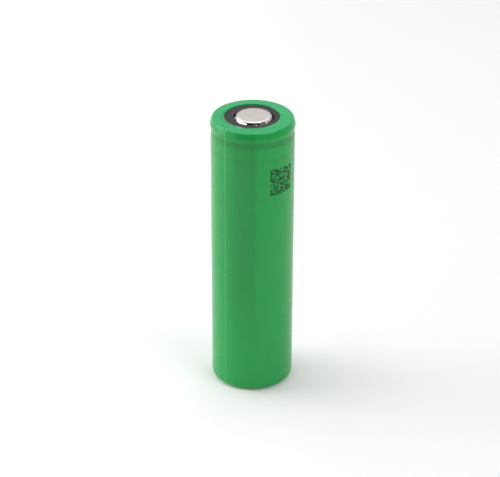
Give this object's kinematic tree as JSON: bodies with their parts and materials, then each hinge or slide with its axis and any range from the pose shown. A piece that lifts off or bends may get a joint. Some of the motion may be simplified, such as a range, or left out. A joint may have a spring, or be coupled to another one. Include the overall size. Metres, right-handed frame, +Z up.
{
  "type": "cylindrical battery cell",
  "caption": "Cylindrical lithium-ion cell in a shrink sleeve, with a vented flat positive cap, an insulator ring and a bare steel negative end.",
  "frame": {"origin": "centre of the circle the cell stands on, on the folded sleeve at the negative end", "axes": "+Z up the cell's axis towards the positive cap, -Y towards the front"},
  "size_m": [0.0186, 0.0186, 0.0653],
  "materials": {
    "green_sleeve": "satin",
    "dark_fibre": "matte",
    "nickel_plated_can": "satin",
    "gasket_plastic": "satin",
    "nickel_plated_cap": "satin",
    "ptc_compound": "satin",
    "vent_aluminium": "satin",
    "cid_plastic": "satin",
    "plate_aluminium": "satin",
    "insulator_sheet": "matte",
    "pin_steel": "satin",
    "separator_film": "matte",
    "copper_foil": "satin",
    "graphite_coating": "matte",
    "aluminium_foil": "satin",
    "oxide_coating": "matte",
    "tab_aluminium": "satin",
    "tab_tape": "satin",
    "tab_nickel": "satin",
    "closing_tape_film": "satin"
  },
  "bodies": {
    "root": {"sleeve": "green_sleeve", "top_insulator_ring": "dark_fibre", "can": "nickel_plated_can", "gasket": "gasket_plastic", "positive_cap": "nickel_plated_cap", "ptc_washer": "ptc_compound", "vent_disc": "vent_aluminium", "cid_insulator": "cid_plastic", "cid_weld_plate": "plate_aluminium", "upper_insulator": "insulator_sheet", "lower_insulator": "insulator_sheet", "centre_pin": "pin_steel", "inner_separator": "separator_film", "outer_separator": "separator_film", "anode_foil": "copper_foil", "anode_coating": "graphite_coating", "cathode_foil": "aluminium_foil", "cathode_coating": "oxide_coating", "positive_tab": "tab_aluminium", "positive_tab_tape": "tab_tape", "negative_tab": "tab_nickel", "negative_tab_tape": "tab_tape", "closing_tape": "closing_tape_film"}
  },
  "joints": []
}
